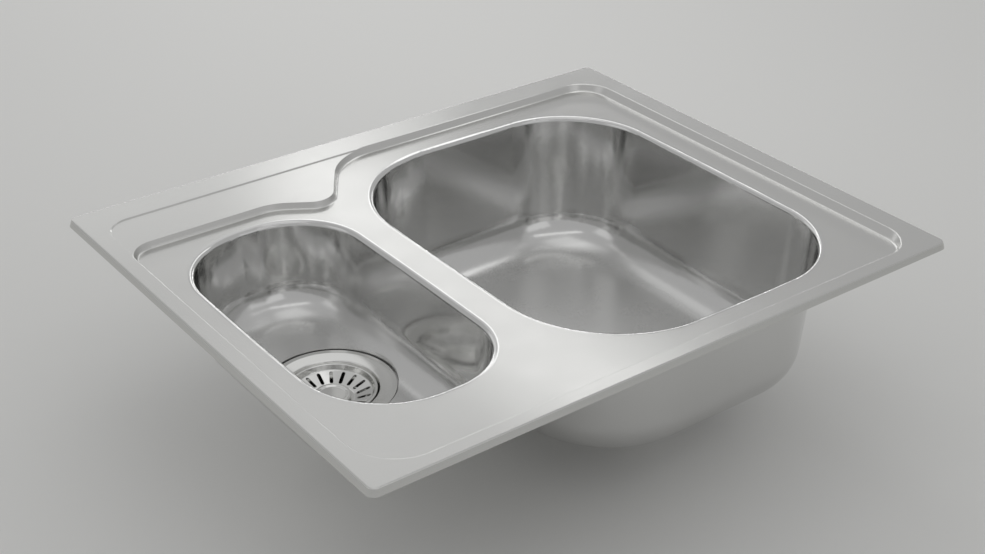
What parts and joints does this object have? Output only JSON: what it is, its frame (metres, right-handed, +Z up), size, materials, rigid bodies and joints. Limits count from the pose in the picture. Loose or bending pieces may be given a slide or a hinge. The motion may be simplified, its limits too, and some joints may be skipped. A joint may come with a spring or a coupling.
{
  "type": "double bowl kitchen sink",
  "caption": "Inset stainless steel kitchen sink with a large bowl, a half bowl, a plain tap ledge, lift-out basket strainers, an overflow and folding fixing clips.",
  "frame": {"origin": "middle of the sink's outline, on the worktop's surface", "axes": "+X to the right of the user, towards the large bowl; +Y away from the user, towards the tap ledge; +Z up"},
  "size_m": [0.615, 0.5, 0.2015],
  "materials": {
    "satin_steel": "satin brushed",
    "drawn_steel": "satin polished",
    "polished_steel": "polished",
    "zinc_steel": "zinc plated",
    "black_rubber": "matte",
    "foam": "foam",
    "damping_felt": "matte",
    "white_plastic": "moulded"
  },
  "bodies": {
    "sink": {"sink_deck": "satin_steel", "main_bowl": "drawn_steel", "half_bowl": "drawn_steel", "sealing_strip": "foam", "main_damping_pad": "damping_felt", "half_damping_pad": "damping_felt", "clip_brackets": "zinc_steel", "clip_pins": "zinc_steel", "main_waste_flange": "polished_steel", "main_clamp_screw": "polished_steel", "main_flange_seal": "black_rubber", "main_under_gasket": "black_rubber", "main_waste_body": "white_plastic", "half_waste_flange": "polished_steel", "half_clamp_screw": "polished_steel", "half_flange_seal": "black_rubber", "half_under_gasket": "black_rubber", "half_waste_body": "white_plastic", "overflow_grille": "polished_steel", "overflow_screw": "polished_steel", "overflow_gasket": "black_rubber", "overflow_housing": "white_plastic", "overflow_pipe": "white_plastic"},
    "main_strainer": {"main_basket": "polished_steel", "main_basket_knob": "polished_steel", "main_basket_stem": "polished_steel", "main_basket_seal": "black_rubber"},
    "half_strainer": {"half_basket": "polished_steel", "half_basket_knob": "polished_steel", "half_basket_stem": "polished_steel", "half_basket_seal": "black_rubber"},
    "claw_1": {"clip_claw_1": "zinc_steel"},
    "screw_1": {"clip_screw_1": "zinc_steel"},
    "claw_2": {"clip_claw_2": "zinc_steel"},
    "screw_2": {"clip_screw_2": "zinc_steel"},
    "claw_3": {"clip_claw_3": "zinc_steel"},
    "screw_3": {"clip_screw_3": "zinc_steel"},
    "claw_4": {"clip_claw_4": "zinc_steel"},
    "screw_4": {"clip_screw_4": "zinc_steel"},
    "claw_5": {"clip_claw_5": "zinc_steel"},
    "screw_5": {"clip_screw_5": "zinc_steel"},
    "claw_6": {"clip_claw_6": "zinc_steel"},
    "screw_6": {"clip_screw_6": "zinc_steel"}
  },
  "joints": [
    {"name": "main_strainer_lift", "type": "slide", "parent": "sink", "child": "main_strainer", "axis": [0, 0, 1], "range_m": [0, 0.19]},
    {"name": "half_strainer_lift", "type": "slide", "parent": "sink", "child": "half_strainer", "axis": [0, 0, 1], "range_m": [0, 0.14]},
    {"name": "claw_1_swing", "type": "hinge", "parent": "sink", "child": "claw_1", "pos_m": [-0.2805, -0.192, -0.009], "axis": [0, 1, 0], "range_deg": [0, 90]},
    {"name": "screw_1_run", "type": "slide", "parent": "claw_1", "child": "screw_1", "axis": [1, 0, 0], "range_m": [0, 0.011]},
    {"name": "claw_2_swing", "type": "hinge", "parent": "sink", "child": "claw_2", "pos_m": [-0.2805, 0.195, -0.009], "axis": [0, 1, 0], "range_deg": [0, 90]},
    {"name": "screw_2_run", "type": "slide", "parent": "claw_2", "child": "screw_2", "axis": [1, 0, 0], "range_m": [0, 0.011]},
    {"name": "claw_3_swing", "type": "hinge", "parent": "sink", "child": "claw_3", "pos_m": [0.2805, -0.195, -0.009], "axis": [0, -1, 0], "range_deg": [0, 90]},
    {"name": "screw_3_run", "type": "slide", "parent": "claw_3", "child": "screw_3", "axis": [-1, 0, 0], "range_m": [0, 0.011]},
    {"name": "claw_4_swing", "type": "hinge", "parent": "sink", "child": "claw_4", "pos_m": [0.2805, 0.2, -0.009], "axis": [0, -1, 0], "range_deg": [0, 90]},
    {"name": "screw_4_run", "type": "slide", "parent": "claw_4", "child": "screw_4", "axis": [-1, 0, 0], "range_m": [0, 0.011]},
    {"name": "claw_5_swing", "type": "hinge", "parent": "sink", "child": "claw_5", "pos_m": [-0.088, -0.223, -0.009], "axis": [-1, 0, 0], "range_deg": [0, 90]},
    {"name": "screw_5_run", "type": "slide", "parent": "claw_5", "child": "screw_5", "axis": [0, 1, 0], "range_m": [0, 0.011]},
    {"name": "claw_6_swing", "type": "hinge", "parent": "sink", "child": "claw_6", "pos_m": [-0.145, 0.223, -0.009], "axis": [1, 0, 0], "range_deg": [0, 90]},
    {"name": "screw_6_run", "type": "slide", "parent": "claw_6", "child": "screw_6", "axis": [0, -1, 0], "range_m": [0, 0.011]}
  ]
}
